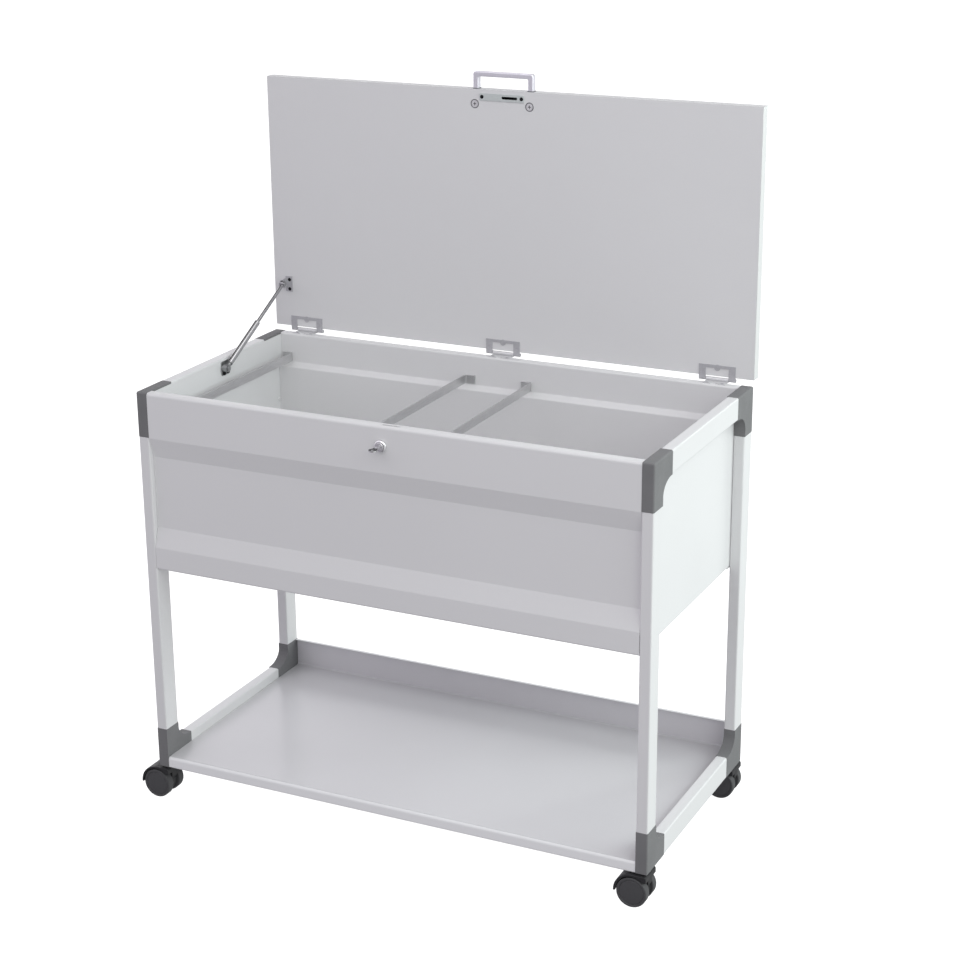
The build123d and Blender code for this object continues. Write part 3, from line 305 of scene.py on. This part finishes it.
# ----------------------------------------------------------------------------
# Small extra pieces
# ----------------------------------------------------------------------------
def rounded_frame(name, half_x, half_y, radius, profile, to_world, steps=6):
    """A closed rounded-rectangle ring: profile points are (outward offset, height)."""
    path = []
    for qx, qy, t0 in ((1, 1, 0.0), (-1, 1, 90.0), (-1, -1, 180.0), (1, -1, 270.0)):
        for i in range(steps + 1):
            t = math.radians(t0 + 90.0 * i / steps)
            path.append((qx * (half_x - radius), qy * (half_y - radius), math.cos(t), math.sin(t)))
    bm = bmesh.new()
    rings = [[bm.verts.new(to_world @ Vector((cx + (radius + o) * nx, cy + (radius + o) * ny, h))) for o, h in profile]
             for cx, cy, nx, ny in path]
    n = len(profile)
    for i in range(len(rings)):
        a, b = rings[i], rings[(i + 1) % len(rings)]
        for k in range(n):
            bm.faces.new((a[k], b[k], b[(k + 1) % n], a[(k + 1) % n]))
    bmesh.ops.recalc_face_normals(bm, faces=bm.faces)
    return mesh_object(name, bm)


def mesh_object(name, bm):
    me = bpy.data.meshes.new(name)
    bm.to_mesh(me)
    bm.free()
    me.shade_smooth()
    me.set_sharp_from_angle(angle=math.radians(40))
    obj = bpy.data.objects.new(name, me)
    scene.collection.objects.link(obj)
    return obj


# dark rings round the feet of the handle, on the lid's front edge, as painted shade for the contact shadow there
FOOT_RING_PROFILE = ((0.00005, 0.0), (0.00095, 0.0), (0.00105, 0.0003), (0.00095, 0.0009), (0.00060, 0.0012), (0.00005, 0.0012))
for side, tag in ((-1, "left"), (1, "right")):
    at = Matrix.Translation((side * 0.049, 0.2277, 1.16345))
    foot_ring = rounded_frame("handle_foot_shade_ring_" + tag, 0.0047, 0.0055, 0.0018, FOOT_RING_PROFILE, at)
    dress(foot_ring, foot_ring_shade)
    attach(foot_ring, "lid")

# ----------------------------------------------------------------------------
# Shading of the CAD nodes: joined seams, softened edges
# ----------------------------------------------------------------------------
BEVEL = {
    "connector": (0.0020, 4), "lid_handle": (0.0004, 2), "strike_plate": (0.0004, 2),
    "strut_": (0.0003, 2), "lock_key": (0.0003, 2), "lock_nut": (0.0003, 2), "lock_cam": (0.0003, 2),
    "caster_hood": (0.0006, 2),
}
for name, obj in NODES.items():
    width, segs = next((v for k, v in BEVEL.items() if k in name), (0.0, 0))
    if not width:
        continue
    me = obj.data
    if "custom_normal" in me.attributes:
        me.attributes.remove(me.attributes["custom_normal"])
    weld = obj.modifiers.new("weld", "WELD")
    weld.merge_threshold = 1e-6
    bv = obj.modifiers.new("bevel", "BEVEL")
    bv.width, bv.segments = width, segs
    bv.limit_method, bv.angle_limit = "ANGLE", math.radians(40)
    bv.use_clamp_overlap = True
    bv.harden_normals = False
    me.shade_smooth()
    obj.modifiers.new("flat faces", "WEIGHTED_NORMAL").keep_sharp = True

# ----------------------------------------------------------------------------
# Floor, world and lights
# ----------------------------------------------------------------------------
bm = bmesh.new()
bmesh.ops.create_circle(bm, cap_ends=True, segments=96, radius=40.0)
# far off, the floor rises into a plain wall
wall = bmesh.ops.extrude_edge_only(bm, edges=[e for e in bm.edges if e.is_boundary])
bmesh.ops.translate(bm, vec=(0.0, 0.0, 60.0), verts=[v for v in wall["geom"] if isinstance(v, bmesh.types.BMVert)])
floor_me = bpy.data.meshes.new("floor")
bm.to_mesh(floor_me)
bm.free()
floor = bpy.data.objects.new("floor", floor_me)
scene.collection.objects.link(floor)
floor.location.z = -0.0002
fm = Mat("floor", (0.30, 0.30, 0.30), 0.9)
fm.tone(fm.noise(3.0, 2.0), 0.99, 1.01)
fm.set(Emission_Color=(1, 1, 1, 1), Emission_Strength=1.05, Specular_IOR_Level=0.0)
fm.m.cycles.emission_sampling = "NONE"
dress(floor, fm.m)
floor.visible_diffuse = False
floor.visible_shadow = False
floor.visible_glossy = False

# a white backdrop that shows only in reflections
bm = bmesh.new()
ring = []
for i in range(49):
    t = math.radians(80.0 + 110.0 * i / 48)
    ring.append([bm.verts.new((5.0 * math.cos(t), 5.0 * math.sin(t), z)) for z in (0.0, 1.0, 1.95)])
for a, b in zip(ring, ring[1:]):
    for k in range(2):
        bm.faces.new((a[k], a[k + 1], b[k + 1], b[k]))
card_me = bpy.data.meshes.new("backdrop")
bm.to_mesh(card_me)
bm.free()
card = bpy.data.objects.new("backdrop", card_me)
scene.collection.objects.link(card)
cm = Mat("backdrop", (0.30, 0.30, 0.30), 0.9)
cm.tone(cm.noise(3.0, 2.0), 0.99, 1.01)
cm.set(Emission_Color=(1, 1, 1, 1), Emission_Strength=1.6, Specular_IOR_Level=0.0)
cm.m.cycles.emission_sampling = "NONE"
dress(card, cm.m)
card.visible_camera = card.visible_diffuse = card.visible_shadow = False

# more cards for the bright metal, again only in reflections: a light one above, a dark one to the left, a light one in front
for tag, at, to, half, glow in (("card_light", (0.65, 0.55, 2.7), (-0.41, 0.10, 0.76), 0.62, 2.2),
                                ("card_dark", (-1.55, 0.65, 1.85), (-0.41, 0.10, 0.76), 0.75, 0.04),
                                ("card_front", (0.75, -1.55, 2.70), (0.0, -0.22, 0.69), 0.85, 1.9)):
    bm = bmesh.new()
    bmesh.ops.create_grid(bm, x_segments=6, y_segments=6, size=half)
    me = bpy.data.meshes.new(tag)
    bm.to_mesh(me)
    bm.free()
    ob = bpy.data.objects.new(tag, me)
    scene.collection.objects.link(ob)
    ob.location = at
    ob.rotation_mode = "QUATERNION"
    ob.rotation_quaternion = (Vector(to) - Vector(at)).to_track_quat("Z", "Y")
    km = Mat(tag, (0.02, 0.02, 0.02), 0.9)
    km.tone(km.noise(3.0, 2.0), 0.95, 1.05)
    km.set(Emission_Color=(1, 1, 1, 1), Emission_Strength=glow, Specular_IOR_Level=0.0)
    km.m.cycles.emission_sampling = "NONE"
    dress(ob, km.m)
    ob.visible_camera = ob.visible_diffuse = ob.visible_shadow = False

# a wide soft sky: smooth lobes along the axes, one of them leaning up
SKY = (
    ((("X", 1.0),), (0.800, 0.815, 0.819)),
    ((("X", -1.0),), (0.397, 0.372, 0.436)),
    ((("X", -2.0), ("Z", 1.0)), (1.012, 0.988, 1.030)),
    ((("Z", -1.0),), (0.10, 0.10, 0.10)),
    ((("Y", -1.0),), (0.16, 0.155, 0.17)),
    ((("Y", 1.0),), (0.20, 0.20, 0.20)),
)
world = bpy.data.worlds.new("studio")
scene.world = world
world.use_nodes = True
wt = world.node_tree
bg = wt.nodes["Background"]
tc = wt.nodes.new("ShaderNodeTexCoord")
sp = wt.nodes.new("ShaderNodeSeparateXYZ")
wt.links.new(tc.outputs["Generated"], sp.inputs["Vector"])
total = None
for axes, color in SKY:
    weight = None
    for axis, sign in axes:
        facing = wt.nodes.new("ShaderNodeMath")
        facing.operation = "MULTIPLY"
        facing.inputs[1].default_value = sign
        wt.links.new(sp.outputs[axis], facing.inputs[0])
        lobe = wt.nodes.new("ShaderNodeMath")
        lobe.operation = "MAXIMUM"
        lobe.inputs[1].default_value = 0.0
        wt.links.new(facing.outputs[0], lobe.inputs[0])
        if weight is None:
            weight = lobe.outputs[0]
        else:
            prod = wt.nodes.new("ShaderNodeMath")
            prod.operation = "MULTIPLY"
            wt.links.new(weight, prod.inputs[0])
            wt.links.new(lobe.outputs[0], prod.inputs[1])
            weight = prod.outputs[0]
    glow = wt.nodes.new("ShaderNodeVectorMath")
    glow.operation = "SCALE"
    glow.inputs[0].default_value = color
    wt.links.new(weight, glow.inputs["Scale"])
    if total is None:
        total = glow.outputs[0]
    else:
        both = wt.nodes.new("ShaderNodeVectorMath")
        both.operation = "ADD"
        wt.links.new(total, both.inputs[0])
        wt.links.new(glow.outputs[0], both.inputs[1])
        total = both.outputs[0]
wt.links.new(total, bg.inputs["Color"])
bg.inputs["Strength"].default_value = 1.0


def softbox(name, loc, target, size, size_y, power, color=(1, 1, 1)):
    d = bpy.data.lights.new(name, "AREA")
    d.shape = "RECTANGLE"
    d.size, d.size_y = size, size_y
    d.energy = power
    d.color = color
    o = bpy.data.objects.new(name, d)
    scene.collection.objects.link(o)
    o.location = loc
    o.rotation_mode = "QUATERNION"
    o.rotation_quaternion = (Vector(target) - Vector(loc)).to_track_quat("-Z", "Y")
    return o


softbox("right box", (2.70, 0.30, 1.63), (0.3, 0.0, 0.5), 2.09, 1.46, 32.5, (0.90, 1.0, 0.98))
softbox("right rear box", (1.5, 2.7, 1.3), (0.45, 0.1, 0.5), 1.0, 1.0, 36.0, (0.94, 1.0, 0.985)).visible_glossy = False
softbox("right front box", (2.2, -1.4, 2.3), (0.2, 0.0, 0.5), 1.6, 1.4, 13.0, (0.96, 1.0, 0.95))
softbox("front box", (0.3, -2.6, 2.9), (0.0, 0.0, 0.6), 3.0, 2.0, 29.5, (0.98, 0.963, 1.0))
softbox("top box", (0.0, 0.0, 3.4), (0.0, 0.0, 0.5), 2.4, 2.0, 2.5, (1.0, 0.96, 0.90))

scene.view_settings.view_transform = "Standard"
scene.view_settings.look = "None"
scene.view_settings.exposure = 0.0
scene.view_settings.gamma = 1.0
